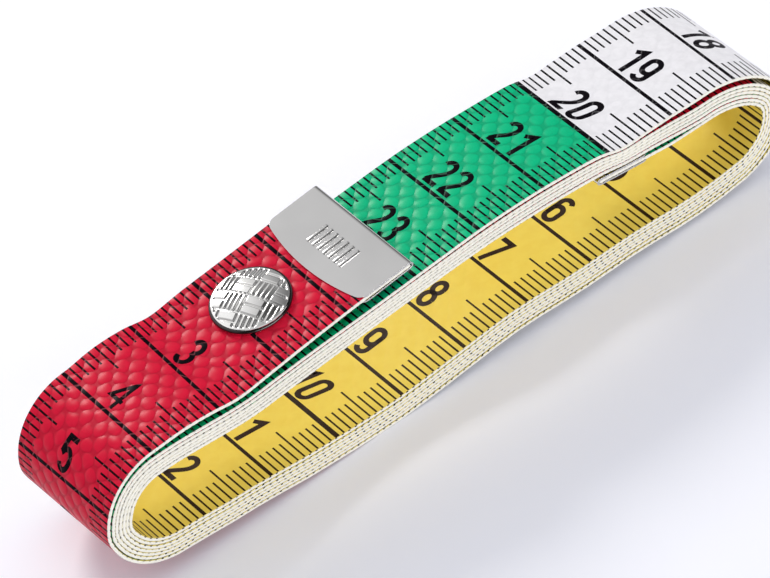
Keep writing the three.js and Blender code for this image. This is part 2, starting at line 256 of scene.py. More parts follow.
left_radius = COIL_HEIGHT / 2
right_radius = (COIL_HEIGHT - SHOULDER_DROP) / 2
shoulder_length = right_radius * SHOULDER_STRETCH
fold_start = Vector((-HALF_LENGTH + left_radius, COIL_HEIGHT))
shoulder = Vector((HALF_LENGTH - shoulder_length, COIL_HEIGHT - SHOULDER_DROP))
slope = Vector((math.cos(FREE_END_SLOPE), math.sin(FREE_END_SLOPE)))
slope_normal = Vector((-slope.y, slope.x))
seat = Vector((fold_start.x + FOLD_TO_SNAP, COIL_HEIGHT - SNAP_DIP))
seat_right = seat + slope * SEAT_HALF
seat_left = seat - slope * SEAT_HALF
snap = seat + slope_normal * FREE_END_RISE
LEFT = Vector((-1, 0))
third = (seat_left - fold_start).length / 3

left_middle = Vector((fold_start.x, left_radius))
right_middle = Vector((HALF_LENGTH - right_radius, right_radius))
shoulder_middle = Vector((shoulder.x, right_radius))
bottom = straight(Vector((left_middle.x, 0)), Vector((right_middle.x, 0)))
crown = eased(shoulder, LEFT, CROWN_RIGHT_HANDLE, seat_right, -slope, CROWN_LEFT_HANDLE)

Stretch = namedtuple("Stretch", "name at steps")
LAP = [
    Stretch("left_top", quarter(left_middle, left_radius, left_radius, 1), steps=24),
    Stretch("left_bottom", quarter(left_middle, left_radius, left_radius, 2), steps=24),
    Stretch("bottom", bottom, steps=24),
    Stretch("right_bottom", quarter(right_middle, right_radius, right_radius, 3), steps=24),
    Stretch("right_top", quarter(shoulder_middle, shoulder_length, right_radius, 0), steps=24),
    Stretch("crown", crown, steps=48),
    Stretch("seat", straight(seat_right, seat_left), steps=8),
    Stretch("to_fold", eased(seat_left, -slope, third, fold_start, LEFT, third), steps=20),
]


def depth_at(name, lap, share):
    """How far a lap's outer face lies below the outer lap's path."""
    step = {"crown": ease(share, STEP_START, 1), "seat": 1, "to_fold": 1}.get(name, 0)
    laps = lap + step
    start, end = AIR[name]
    air = mix(start, end, ease(share, 0, AIR_CLOSES) if name == "crown" else share)
    depth = PITCH * laps + air * min(laps, 1)
    if lap == LAPS - 1 and name == "crown":
        depth = mix(depth, INNER_BEND_DEPTH, ease(share, 0, INNER_BEND))
    return depth


def through(table):
    """Smooth curves through rows of (x, value, ...), as one function of x that returns the values."""
    places = [row[0] for row in table]
    rows = [Vector(row[1:]) if len(row) > 2 else row[1] for row in table]
    slopes = []
    for i in range(len(table)):
        before, after = max(i - 1, 0), min(i + 1, len(table) - 1)
        slopes.append((rows[after] - rows[before]) / (places[after] - places[before]))

    def at(x):
        i = min(max(bisect.bisect_right(places, x) - 1, 0), len(places) - 2)
        width = places[i + 1] - places[i]
        share = min(max((x - places[i]) / width, 0), 1)
        turned = ease(share, 0, 1)
        bend = rows[i] * (1 - turned) + rows[i + 1] * turned
        leave, arrive = share * (1 - share) ** 2 * width, share ** 2 * (share - 1) * width
        return bend + slopes[i] * leave + slopes[i + 1] * arrive
    return at


top_wave = through(TOP_WAVE)
bottom_wave = through(BOTTOM_WAVE)
free_end_sway = through(FREE_END_SWAY)
outer_roll = through(OUTER_ROLL)


def settled(point, depth):
    top = top_wave(point.x) * mix(1, INNER_WAVE, depth / (PITCH * LAPS))
    rise = mix(bottom_wave(point.x), top, ease(point.y, *WAVES_MEET))
    return point + Vector((0, rise))


# One cross-section of the tape: its outer face's point, the way out of that face, its place on the tape,
# how far it lies aside, and its roll
Ring = namedtuple("Ring", "point normal along aside roll")


def on_tape(ring, across, depth):
    """A point at a place across the tape and a depth below its outer face."""
    point = ring.point + ring.normal * (across * math.sin(ring.roll) - depth)
    return Vector((point.x, across * math.cos(ring.roll) + ring.aside, point.y))


def outward(tangent):
    return Vector((tangent.y, -tangent.x))


def make_rings(points, start, lie):
    """Rings through the outer face's points. lie gives each one's shift aside and its roll."""
    rings = []
    along = start
    middle = None
    for i, point in enumerate(points):
        tangent = points[min(i + 1, len(points) - 1)] - points[max(i - 1, 0)]
        normal = outward(tangent).normalized()
        here = point - normal * (TAPE_THICKNESS / 2)
        along += (here - middle).length if middle else 0
        middle = here
        rings.append(Ring(point, normal, along, *lie(i, along)))
    return rings


def free_end_rings():
    tail = snap - slope * TAIL
    handle = (tail - fold_start).length / 3
    bend = eased(tail, -slope, handle, fold_start, LEFT, handle)
    start = snap + slope * (SNAP_FROM_END - END_IN_CLIP)
    points = []
    for step in range(FREE_END_STEPS):
        points.append(start.lerp(tail, step / FREE_END_STEPS) + slope_normal * FREE_END_LIFT)
    for step in range(FREE_END_STEPS + 1):
        share = step / FREE_END_STEPS
        point, tangent = bend(share)
        points.append(point + outward(tangent) * (FREE_END_LIFT * (1 - ease(share, 0, 1))))
    swayed = [point + Vector((0, free_end_sway(point.x)[0])) for point in points]

    def lie(i, along):
        _, aside, roll = free_end_sway(points[i].x)
        return aside, math.radians(roll)
    return make_rings(swayed, 0, lie)


def drift(along):
    """Sideways wander of the wound tape."""
    wander = math.sin(along / LONG_DRIFT) + SHORT_SHARE * math.sin(along / SHORT_DRIFT + 1)
    return SIDEWAYS_DRIFT * wander


def coil_rings(joined):
    points = []
    rolls = []
    for lap in range(LAPS):
        for stretch in LAP:
            inner = lap == LAPS - 1 and stretch.name == "crown"
            end = INNER_BEND if inner else 1
            for step in range(stretch.steps + (1 if inner else 0)):
                share = end * step / stretch.steps
                point, tangent = stretch.at(share)
                depth = depth_at(stretch.name, lap, share)
                point = settled(point - outward(tangent) * depth, depth)
                rolled = lap == 0 and stretch.name in ("right_top", "crown")
                rolls.append(math.radians(outer_roll(point.x)) if rolled else 0)
                points.append(point + Vector((0, TAPE_WIDTH / 2 * math.sin(rolls[-1]))))
            if inner:
                break

    def lie(i, along):
        gone = ease(along, joined.along, joined.along + ROLL_FADES)
        return drift(along) * gone, joined.roll * (1 - gone) + rolls[i]
    slack_start, slack_end = (joined.along + place for place in SLACK_RUN)
    return [
        ring._replace(along=ring.along + SLACK * ease(ring.along, slack_start, slack_end))
        for ring in make_rings(points, joined.along, lie)
    ]


inner_way = Vector((-math.cos(INNER_END_RISE), math.sin(INNER_END_RISE)))


def inner_end_rings(bend):
    length = INNER_END_LENGTH - END_IN_CLIP
    reaches = [length * step / INNER_END_STEPS for step in range(INNER_END_STEPS + 1)]
    points = [bend.point + inner_way * reach for reach in reaches]
    return make_rings(points, bend.along, lambda i, along: (bend.aside, 0))


free_end = free_end_rings()
coil = coil_rings(free_end[-1])
inner_end = inner_end_rings(coil[-1])
TAPE_LENGTH = inner_end[-1].along


def yellow_place(along):
    return TAPE_LENGTH - YELLOW_SHIFT - along


# Meshes
SHARP_ANGLE = math.radians(40)  # between faces whose edge isn't smoothed over


def new_object(name, points, faces, materials=()):
    mesh = bpy.data.meshes.new(name)
    mesh.from_pydata([Vector(point) * MM for point in points], [], faces)
    mesh.shade_smooth()
    for material in materials:
        mesh.materials.append(material)
    piece = bpy.data.objects.new(name, mesh)
    bpy.context.scene.collection.objects.link(piece)
    return piece


def tube(first, rows, count):
    """Faces of a closed tube: its sides through rows of points, and then its two ends."""
    last = first + (rows - 1) * count
    faces = []
    for low in range(first, last, count):
        for i in range(count):
            a = low + i
            b = low + (i + 1) % count
            faces.append((a, b, b + count, a + count))
    return faces + [tuple(reversed(range(first, first + count))), tuple(range(last, last + count))]


def set_places(piece, places):
    """Places on the tape, in millimetres, for each corner of each face."""
    layer = piece.data.uv_layers.new(name="tape_mm")
    layer.data.foreach_set("uv", [value for place in places for value in place])


COLOURED_FACE, YELLOW_FACE, CUT_EDGE = range(3)


def tape_band(name, rings, materials):
    """The tape through the rings, with rounded edges, as one closed body."""
    half = TAPE_WIDTH / 2
    flat = half - EDGE_ROUND
    low = TAPE_THICKNESS - EDGE_ROUND
    section = [
        (-flat, 0), (flat, 0), (half, EDGE_ROUND), (half, low),
        (flat, TAPE_THICKNESS), (-flat, TAPE_THICKNESS), (-half, low), (-half, EDGE_ROUND),
    ]
    kinds = {0: COLOURED_FACE, 4: YELLOW_FACE}  # by the section's sides, with the rest cut edge
    count = len(section)
    points = []
    for ring in rings:
        points += [on_tape(ring, across, depth) for across, depth in section]

    def place(ring, corner, kind):
        across, depth = section[corner]
        if kind == CUT_EDGE:
            return ring.along, depth / TAPE_THICKNESS
        return (ring.along if kind == COLOURED_FACE else yellow_place(ring.along)), across

    faces = tube(0, len(rings), count)
    face_kinds = [kinds.get(a, CUT_EDGE) for _ in rings[1:] for a in range(count)] + [COLOURED_FACE] * 2
    places = []
    for corners, kind in zip(faces[:-2], face_kinds):
        places += [place(rings[corner // count], corner % count, kind) for corner in corners]
    places += [(ring.along, 0) for ring in (rings[0], rings[-1]) for _ in range(count)]

    piece = new_object(name, points, faces, materials)
    piece.data.polygons.foreach_set("material_index", face_kinds)
    set_places(piece, places)
    sharp = piece.data.attributes.new("sharp_edge", "BOOLEAN", "EDGE")
    last = len(points) - count

    def is_sharp(a, b):
        return abs(a - b) == count or max(a, b) < count or min(a, b) >= last

    sharp.data.foreach_set("value", [is_sharp(*edge.vertices) for edge in piece.data.edges])
    return piece


# Digits, as strokes on their middle lines: x to the right and y up from the foot
BOW_STEP = 10  # degrees
LEAST_BOW_STEPS = 4


def bow(x, y, width, height, start, end):
    """Points on an arc round x and y, between two angles in degrees."""
    steps = max(LEAST_BOW_STEPS, round(abs(end - start) / BOW_STEP))
    angles = [math.radians(mix(start, end, step / steps)) for step in range(steps + 1)]
    return [(x + width * math.cos(angle), y + height * math.sin(angle)) for angle in angles]


def digit_strokes():
    right = DIGIT_WIDTH
    top = DIGIT_HEIGHT
    half = right / 2
    foot = -STROKE / 2
    overhang = STROKE / 3
    upper = 0.235 * top  # half the height of the upper bowl of a three or an eight
    lower = top / 2 - upper
    bowl = 0.43 * top  # middle of the lower arc of a nine's bowl, from its top
    belly = 0.32 * top  # half the height of a five's bowl
    bar = 0.26 * top
    stem = 0.78 * right
    neck = eased(
        Vector((right, top - half)), Vector((0, -1)), 0.36 * top,
        Vector((0, 0)), Vector((-0.35, -1)), 0.3 * top,
    )
    two = [tuple(neck(step / NECK_STEPS)[0]) for step in range(1, NECK_STEPS + 1)]
    nine = [
        bow(half, top - half, half, half, 0, 180) + bow(half, top - bowl, half, half, 180, 360)
        + [(right, top - half)],
        [(right, top - half)] + bow(half, half, half, half, 0, HOOK_END),
    ]
    return {
        "0": [bow(half, top - half, half, half, 0, 180) + bow(half, half, half, half, 180, 360)
              + [(right, top - half)]],
        "1": [[(0.05 * right, 0.8 * top), (stem, top), (stem, foot)]],
        "2": [bow(half, top - half, half, half, 170, 0) + two, [(-overhang, 0), (right + overhang, 0)]],
        "3": [bow(half, top - upper, 0.94 * half, upper, 165, -90)
              + bow(half, lower, half, lower, 90, -165)],
        "4": [[(stem, foot), (stem, top), (-0.2 * right, bar), (right + overhang, bar)]],
        "5": [[(right, top), (0.08 * right, top), (0, 0.56 * top)]
              + bow(half, belly, half, belly, 140, HOOK_END)],
        "6": [[(right - x, top - y) for x, y in stroke] for stroke in nine],
        "7": [[(-overhang, top), (right, top), (0.3 * right, foot)]],
        "8": [bow(half, top - upper, 0.92 * half, upper, 0, 360), bow(half, lower, half, lower, 0, 360)],
        "9": nine,
    }


def finer(stroke, step=0.25):
    points = []
    for a, b in zip(stroke, stroke[1:]):
        count = max(1, math.ceil(math.dist(a, b) / step))
        points += [(mix(a[0], b[0], i / count), mix(a[1], b[1], i / count)) for i in range(count)]
    return [Vector(point) for point in points + [stroke[-1]]]


def outline(stroke, width):
    """Left and right points of a stroke of even width, with mitred corners."""
    pairs = []
    for i, point in enumerate(stroke):
        before = (point - stroke[i - 1]).normalized() if i else None
        after = (stroke[i + 1] - point).normalized() if i + 1 < len(stroke) else None
        ways = [way for way in (before, after) if way is not None and way.length]
        side = sum((Vector((-way.y, way.x)) for way in ways), Vector((0, 0))).normalized()
        reach = max(LEAST_MITRE, side.dot(Vector((-ways[0].y, ways[0].x))))
        aside = side * (width / 2 / reach)
        pairs.append((point + aside, point - aside))
    return pairs


STROKES = digit_strokes()


class Numbers:
    """Printed numbers on a run of rings, as thin closed strokes that follow the tape."""

    def __init__(self, rings):
        self.rings = rings
        self.starts = [ring.along for ring in rings]
        self.points = []
        self.faces = []
        self.kinds = []
        self.places = []

    def surface(self, along, across, lift, kind):
        i = min(max(bisect.bisect_right(self.starts, along) - 1, 0), len(self.rings) - 2)
        a, b = self.rings[i], self.rings[i + 1]
        share = (along - a.along) / (b.along - a.along)
        depth = -lift if kind == COLOURED_FACE else TAPE_THICKNESS + lift
        return on_tape(a, across, depth).lerp(on_tape(b, across, depth), share)

    def add(self, number, kind):
        text = str(number)
        box = DIGIT_WIDTH + STROKE
        width = len(text) * box + (len(text) - 1) * DIGIT_SPACE
        slant = SLANT if number % 10 == 0 else 0

        def spot(point, left):
            """A digit's point as a place along the scale and across the tape."""
            along = CENTIMETRE * number - NUMBER_GAP[kind] - STROKE / 2 - point.y
            across = NUMBER_CENTRE[kind] - left - point.x - slant * (point.y - DIGIT_HEIGHT / 2)
            return along, across

        for i, digit in enumerate(text):
            left = i * (box + DIGIT_SPACE) + STROKE / 2 - width / 2
            for stroke in STROKES[digit]:
                pairs = outline(finer(stroke), THIN_STROKE if digit == "4" else STROKE)
                self.add_stroke([(spot(a, left), spot(b, left)) for a, b in pairs], kind)

    def add_stroke(self, pairs, kind):
        """A closed stroke through pairs of left and right places, with its underside in the tape."""
        first = len(self.points)
        corner_spots = []
        for left, right in pairs:
            for (along, across), lift in (
                (left, INK_LIFT), (right, INK_LIFT), (right, -INK_SINK), (left, -INK_SINK),
            ):
                tape = along if kind == COLOURED_FACE else yellow_place(along)
                self.points.append(self.surface(tape, across, lift, kind))
                corner_spots.append((along, across))
        for start, *others in tube(first, len(pairs), 4):
            corners = (*others, start)  # split along the diagonal that stays above a bent tape
            self.faces.append(corners)
            self.kinds.append(kind)
            self.places += [corner_spots[corner - first] for corner in corners]

    def build(self, name, materials):
        piece = new_object(name, self.points, self.faces, materials)
        piece.data.polygons.foreach_set("material_index", self.kinds)
        piece.data.set_sharp_from_angle(angle=SHARP_ANGLE)
        set_places(piece, self.places)
        return piece


# Shader nodes

def put(tree, socket, value):
    if isinstance(value, bpy.types.NodeSocket):
        tree.links.new(value, socket)
    else:
        socket.default_value = value


def calc(tree, operation, *values):
    node = tree.nodes.new("ShaderNodeMath")
    node.operation = operation
    for socket, value in zip(node.inputs, values):
        put(tree, socket, value)
    return node.outputs[0]


def fade(tree, value, low, high, to_low=0.0, to_high=1.0):
    node = tree.nodes.new("ShaderNodeMapRange")
    node.interpolation_type = "SMOOTHSTEP"
    for socket, item in zip(node.inputs, (value, low, high, to_low, to_high)):
        put(tree, socket, item)
    return node.outputs[0]


def blend_colours(tree, share, a, b):
    node = tree.nodes.new("ShaderNodeMix")
    node.data_type = "RGBA"
    for socket, value in zip((node.inputs[0], node.inputs[6], node.inputs[7]), (share, a, b)):
        put(tree, socket, value)
    return node.outputs[2]


def noise(tree, vector, scale, detail=2.0):
    node = tree.nodes.new("ShaderNodeTexNoise")
    put(tree, node.inputs["Vector"], vector)
    node.inputs["Scale"].default_value = scale
    node.inputs["Detail"].default_value = detail
    return node.outputs["Fac"]


def bump(tree, shader, height, depth):
    node = tree.nodes.new("ShaderNodeBump")
    node.inputs["Distance"].default_value = depth * MM
    put(tree, node.inputs["Height"], height)
    tree.links.new(node.outputs["Normal"], shader.inputs["Normal"])


def shader_material(name, roughness, metallic=0.0):
    material = bpy.data.materials.new(name)
    material.use_nodes = True
    tree = material.node_tree
    shader = tree.nodes["Principled BSDF"]
    shader.inputs["Metallic"].default_value = metallic
    shader.inputs["Roughness"].default_value = roughness
    return material, tree, shader


def tape_place(tree):
    """The place on the tape: millimetres along it and across it."""
    places = tree.nodes.new("ShaderNodeUVMap")
    places.uv_map = "tape_mm"
    parts = tree.nodes.new("ShaderNodeSeparateXYZ")
    tree.links.new(places.outputs[0], parts.inputs[0])
    return places.outputs[0], parts.outputs[0], parts.outputs[1]


def scale_marks(tree, along, across, marks):
    """1 on the marks: millimetre ticks at both edges, longer ones at five, and centimetre lines."""
    def close(spacing, width):
        return calc(tree, "LESS_THAN", calc(tree, "PINGPONG", along, spacing / 2), width / 2)

    def at_edges(near, far):
        by_near = calc(tree, "LESS_THAN", across, near - TAPE_WIDTH / 2)
        by_far = calc(tree, "GREATER_THAN", across, TAPE_WIDTH / 2 - far)
        return calc(tree, "MAXIMUM", by_near, by_far)

    ones = calc(tree, "MULTIPLY", close(1, marks.tick), at_edges(marks.near, marks.far))
    fives = calc(tree, "MULTIPLY", close(5, marks.tick), at_edges(marks.near_five, marks.far_five))
    tens = close(10 * CENTIMETRE, marks.tens_line)
    lines = calc(tree, "MAXIMUM", close(CENTIMETRE, marks.line), tens)
    return calc(tree, "MAXIMUM", calc(tree, "MAXIMUM", ones, fives), lines)


# Where noise fades from one look to the other
NOISE_SPAN = (0.3, 0.7)
NOISE_HIGH = (0.35, 0.7)

EMBOSS_ALONG = 2.55
EMBOSS_ACROSS = 2.95
EMBOSS_DEPTH = 0.125
EMBOSS_REACH = 1.05  # from a bump's middle to the foot of its side
EMBOSS_WANDER = 0.5  # unevenness of the bumps' places
EMBOSS_FOOT = 0.3  # softness of the foot
GROOVE = (0.03, 0.24)  # width of its bottom and of its top, about


def emboss(tree, vector, along, across):
    """Staggered round bumps. Returns their height and how near a place is to the groove between them."""
    uneven = calc(tree, "SUBTRACT", noise(tree, vector, scale=0.45, detail=1.0), 0.5)
    wander = calc(tree, "MULTIPLY", uneven, 2 * EMBOSS_WANDER)

    def repeat(place, spacing):
        return calc(tree, "PINGPONG", place, spacing / 2)

    x = repeat(calc(tree, "ADD", along, wander), EMBOSS_ALONG)
    y = repeat(calc(tree, "SUBTRACT", across, wander), EMBOSS_ACROSS)

    def square(value):
        return calc(tree, "MULTIPLY", value, value)

    def distance(a, b):
        return calc(tree, "SQRT", calc(tree, "ADD", square(a), square(b)))

    first = distance(x, y)
    other_x = calc(tree, "SUBTRACT", EMBOSS_ALONG / 2, x)
    other_y = calc(tree, "SUBTRACT", EMBOSS_ACROSS / 2, y)
    second = distance(other_x, other_y)
    share = calc(tree, "DIVIDE", calc(tree, "MINIMUM", first, second), EMBOSS_REACH)
    dome = calc(tree, "SUBTRACT", 1.0, square(share))
    height = calc(tree, "SMOOTH_MAX", dome, 0.0, EMBOSS_FOOT)
    apart = calc(tree, "ABSOLUTE", calc(tree, "SUBTRACT", first, second))
    return height, fade(tree, apart, *GROOVE, 1.0, 0.0)


BLOCK = 100.0  # length of a block of one colour
BLOCKS = (RED, WHITE, GREEN, WHITE)
COATING_ROUGHNESS = 0.36
SHINE = (0.1, 0.02)  # of the coating and of the ink on it
CLOTH_SHADE = (0.96, 1.03)
VALLEY_TOP = 0.55  # height of a bump's side up to which shade is painted into the colour
PAINTED_VALLEY_SHADE = (0.78, 0.97)  # painted shade: how dark the colour is made between the bumps, on colours and on white
PALE_RELIEF = 0.3  # share of the bumps' height on white
WEAR_PATCHES = (0.3, 0.6, 0.45, 1.0)  # noise between which wear grows, and its least and most
MARK_WEAR = 0.5
NUMBER_WEAR = 0.35
PALE_WEAR = 0.15
PAINTED_GLINT_SHARE = 0.45  # how far a painted grey glint tints the cloth under the marks, where the worn ink lets it show


def coloured_side(name, all_ink):
    """The blocks of red, white and green with their marks, or their printed numbers if all_ink is set."""
    material, tree, shader = shader_material(name, COATING_ROUGHNESS)
    vector, along, across = tape_place(tree)
    height, groove = emboss(tree, vector, along, across)

    blocks = tree.nodes.new("ShaderNodeValToRGB")
    blocks.color_ramp.interpolation = "CONSTANT"
    stops = blocks.color_ramp.elements
    stops[0].color = BLOCKS[0]
    stops.remove(stops[1])
    for i, colour in enumerate(BLOCKS[1:], 1):
        stops.new(i / len(BLOCKS)).color = colour
    cycle = calc(tree, "FRACT", calc(tree, "DIVIDE", along, len(BLOCKS) * BLOCK))
    tree.links.new(cycle, blocks.inputs[0])
    from_colours = calc(tree, "PINGPONG", calc(tree, "SUBTRACT", along, BLOCK / 2), BLOCK)
    pale = calc(tree, "GREATER_THAN", from_colours, BLOCK / 2)
    grain = noise(tree, vector, scale=0.9, detail=4.0)
    # painted shade: the cloth's random grain tone, times a darkening of the colour in the valleys between
    # the bumps
    shade_painted_in_valleys = fade(tree, height, 0.0, VALLEY_TOP, fade(tree, pale, 0.0, 1.0, *PAINTED_VALLEY_SHADE), 1.0)
    shade = calc(tree, "MULTIPLY", fade(tree, grain, *NOISE_SPAN, *CLOTH_SHADE), shade_painted_in_valleys)
    cloth = tree.nodes.new("ShaderNodeVectorMath")
    cloth.operation = "SCALE"
    tree.links.new(blocks.outputs[0], cloth.inputs[0])
    tree.links.new(shade, cloth.inputs["Scale"])

    marks = 1.0 if all_ink else scale_marks(tree, along, across, COLOURED_MARKS)
    patches = fade(tree, noise(tree, vector, scale=1.3), *WEAR_PATCHES)
    most_worn = fade(tree, pale, 0.0, 1.0, NUMBER_WEAR if all_ink else MARK_WEAR, PALE_WEAR)
    worn = calc(tree, "MULTIPLY", calc(tree, "MULTIPLY", groove, patches), most_worn)
    ink = calc(tree, "MULTIPLY", marks, calc(tree, "SUBTRACT", 1.0, worn))
    # painted highlight: under the marks the cloth is tinted towards grey as a glint, which shows through
    # the worn ink
    under = blend_colours(tree, calc(tree, "MULTIPLY", marks, PAINTED_GLINT_SHARE), cloth.outputs[0], INK_GAP_PAINTED_GLINT)
    tree.links.new(blend_colours(tree, ink, under, BLACK_INK), shader.inputs["Base Color"])
    tree.links.new(fade(tree, ink, 0.0, 1.0, *SHINE), shader.inputs["Specular IOR Level"])
    relief = calc(tree, "MULTIPLY", height, fade(tree, pale, 0.0, 1.0, 1.0, PALE_RELIEF))
    bump(tree, shader, relief, EMBOSS_DEPTH)
    return material


YELLOW_ROUGHNESS = 0.45
YELLOW_SHINE = 0.12
GRAIN_SHARE = 0.35  # most that the grain's colour shows
# Heights on the yellow side, as shares of the coloured side's bumps
YELLOW_BUMPS = 0.15
YELLOW_ROUGH = 0.2


def yellow_side(name, all_ink):
    """The yellow with its marks, or its printed numbers if all_ink is set."""
    material, tree, shader = shader_material(name, YELLOW_ROUGHNESS)
    shader.inputs["Specular IOR Level"].default_value = YELLOW_SHINE
    vector, along, across = tape_place(tree)
    grain = noise(tree, vector, scale=0.6, detail=4.0)
    if all_ink:
        colour = BROWN_INK
    else:
        cloth = blend_colours(tree, fade(tree, grain, *NOISE_SPAN, 0.0, GRAIN_SHARE), YELLOW, YELLOW_GRAIN)
        colour = blend_colours(tree, scale_marks(tree, along, across, YELLOW_MARKS), cloth, BROWN_INK)
    put(tree, shader.inputs["Base Color"], colour)
    height, _ = emboss(tree, vector, along, across)
    bumps = calc(tree, "MULTIPLY", height, YELLOW_BUMPS)
    bump(tree, shader, calc(tree, "ADD", bumps, calc(tree, "MULTIPLY", grain, YELLOW_ROUGH)), EMBOSS_DEPTH)
    return material


EDGE_ROUGHNESS = 0.7
EDGE_GRAIN_DEPTH = 0.05
DOT_WIDTH = 0.3
DOT_PATCHES = (0.35, 0.6, 0.4, 1.0)  # noise between which the dots grow dark, and their least and most
COLOURED_DOT_INK = 0.4  # of the dots by the coloured face
# Places on the edge, as shares of the tape's thickness from the coloured face
YELLOW_COAT = (0.8, 0.95)
YELLOW_DOTS = 0.74
COLOURED_DOTS = 0.13


def cut_edge(name):
    """The cut edge: pale cloth, with the ends of the marks as dark dots along both faces."""
    material, tree, shader = shader_material(name, EDGE_ROUGHNESS)
    vector, along, depth = tape_place(tree)
    grain = noise(tree, vector, scale=3.0, detail=3.0)
    plain = blend_colours(tree, fade(tree, grain, *NOISE_HIGH), CREAM, CREAM_GRAIN)
    cloth = blend_colours(tree, fade(tree, depth, *YELLOW_COAT), plain, CREAM_BY_YELLOW)
    tick = calc(tree, "LESS_THAN", calc(tree, "PINGPONG", along, 0.5), DOT_WIDTH / 2)
    by_yellow = calc(tree, "GREATER_THAN", depth, YELLOW_DOTS)
    by_coloured = calc(tree, "MULTIPLY", calc(tree, "LESS_THAN", depth, COLOURED_DOTS), COLOURED_DOT_INK)
    dots = calc(tree, "MULTIPLY", tick, calc(tree, "MAXIMUM", by_yellow, by_coloured))
    patches = fade(tree, noise(tree, vector, scale=0.35, detail=1.0), *DOT_PATCHES)
    ink = calc(tree, "MULTIPLY", dots, patches)
    tree.links.new(blend_colours(tree, ink, cloth, BLACK_INK), shader.inputs["Base Color"])
    bump(tree, shader, grain, EDGE_GRAIN_DEPTH)
    return material


BRUSHED = (1.0, 0.15, 1.0)  # how the fine lines are drawn out
CLOUDED = 0.94  # brightness of the metal's duller patches
ROUGHNESS_SPREAD = (0.95, 1.08)


def metal(name, colour, roughness, scratches):
    material, tree, shader = shader_material(name, roughness, 1.0)
    place = tree.nodes.new("ShaderNodeTexCoord").outputs["Object"]
    stretch = tree.nodes.new("ShaderNodeMapping")
    stretch.inputs["Scale"].default_value = BRUSHED
    tree.links.new(place, stretch.inputs["Vector"])
    lines = noise(tree, stretch.outputs[0], scale=4000.0, detail=3.0)
    cloud = noise(tree, place, scale=120.0)
    dull = (*(CLOUDED * value for value in colour[:3]), 1)
    patchy = blend_colours(tree, fade(tree, cloud, *NOISE_HIGH), colour, dull)
    tree.links.new(patchy, shader.inputs["Base Color"])
    least, most = (share * roughness for share in ROUGHNESS_SPREAD)
    tree.links.new(fade(tree, lines, *NOISE_SPAN, least, most), shader.inputs["Roughness"])
    bump(tree, shader, lines, scratches)
    return material


coloured = coloured_side("tape_coloured_side", False)
yellow = yellow_side("tape_yellow_side", False)
edge = cut_edge("tape_cut_edge")
coloured_ink = coloured_side("number_ink_black", True)
yellow_ink = yellow_side("number_ink_brown", True)
clip_metal = metal("nickel_clip", NICKEL, roughness=0.1, scratches=0.0002)
cap_metal = metal("nickel_cap", BRIGHT_NICKEL, roughness=0.12, scratches=0.0006)
# painted dark reflection: the turn of the cap's rim gets a dark nickel colour in place of the dark
# surroundings it mirrors
rim_painted_reflection_metal = metal("nickel_cap_rim_painted_reflection", NICKEL_PAINTED_DARK_REFLECTION, roughness=0.2, scratches=0.0006)
spring_metal = metal("spring_steel", STEEL, roughness=0.35, scratches=0.004)


# The tape and its numbers
tape_faces = (coloured, yellow, edge)
coil_band = tape_band("tape_band_coil", coil, tape_faces)
free_end_band = tape_band("tape_band_free_end", free_end, tape_faces)
inner_end_band = tape_band("tape_band_inner_end", inner_end, tape_faces)


def printed(name, rings, numbers):
    """Numbers of the coloured and of the yellow face, as one piece."""
    run = Numbers(rings)
    for kind, row in zip((COLOURED_FACE, YELLOW_FACE), numbers):
        for number in row:
            run.add(number, kind)
    return run.build(name, (coloured_ink, yellow_ink))


free_end_print = printed("numbers_free_end", free_end, FREE_END_NUMBERS)
coil_print = printed("numbers_coil", coil, COIL_NUMBERS)


# Metal pieces, each built in a frame of its own: x towards the tape's end, z out of the coloured face

def mouth_reach(y):
    """How far the clip's mouth lies from its fold, at a place across the tape."""
    half = TAPE_WIDTH / 2
    reach = CLIP_SIDE + (CLIP_REACH - CLIP_SIDE) * (1 - (y / half) ** 2)
    in_corner = max(0, abs(y) - half + CLIP_MOUTH_CORNER)
    return reach - CLIP_MOUTH_CORNER + math.sqrt(max(0, CLIP_MOUTH_CORNER ** 2 - in_corner ** 2))


def add_bevel(piece, width, segments):
    modifier = piece.modifiers.new("rounded", "BEVEL")
    modifier.width = width * MM
    modifier.segments = segments
    modifier.limit_method = "ANGLE"
    modifier.angle_limit = SHARP_ANGLE
    modifier.harden_normals = True
    return piece


def add_ribs(points, faces, level):
    """Low rounded ribs pressed up out of the clip's plate."""
    for rib in range(RIB_COUNT):
        middle = (rib - (RIB_COUNT - 1) / 2) * RIB_SPACING
        first = len(points)
        for share, height in RIB_SECTION:
            radius = share * RIB_WIDTH / 2
            for side in range(RIB_SIDES):
                angle = 2 * math.pi * side / RIB_SIDES
                straight_part = math.copysign(RIB_LENGTH / 2 - RIB_WIDTH / 2, math.cos(angle))
                x = straight_part + radius * math.cos(angle) - RIB_MIDDLE
                points.append((x, middle + radius * math.sin(angle), level + height * RIB_HEIGHT))
        faces += tube(first, len(RIB_SECTION), RIB_SIDES)


def clip_piece(name, tape_top, matrix):
    """Sheet folded round the end of the tape, with an arched mouth."""
    top = tape_top + CLIP_AIR + CLIP_SHEET
    bottom = tape_top - TAPE_THICKNESS - CLIP_AIR - CLIP_SHEET
    middle = (top + bottom) / 2
    outside = (top - bottom) / 2
    fold = bow(-CLIP_FOLD, middle, CLIP_FOLD, outside, 90, -90)
    inside = bow(-CLIP_FOLD, middle, CLIP_FOLD - CLIP_SHEET, outside - CLIP_SHEET, -90, 90)
    points = []
    for station in range(CLIP_STATIONS + 1):
        y = TAPE_WIDTH / 2 * math.sin(math.pi * (station / CLIP_STATIONS - 0.5))
        mouth = -mouth_reach(y)
        section = [(mouth, top)] + fold + [(mouth, bottom), (mouth, bottom + CLIP_SHEET)]
        section += inside + [(mouth, top - CLIP_SHEET)]
        points += [(x, y, z) for x, z in section]
    faces = tube(0, CLIP_STATIONS + 1, len(section))
    add_ribs(points, faces, top)
    piece = new_object(name, points, faces, [clip_metal])
    piece.matrix_world = matrix
    return add_bevel(piece, CLIP_BEVEL, CLIP_BEVEL_STEPS)


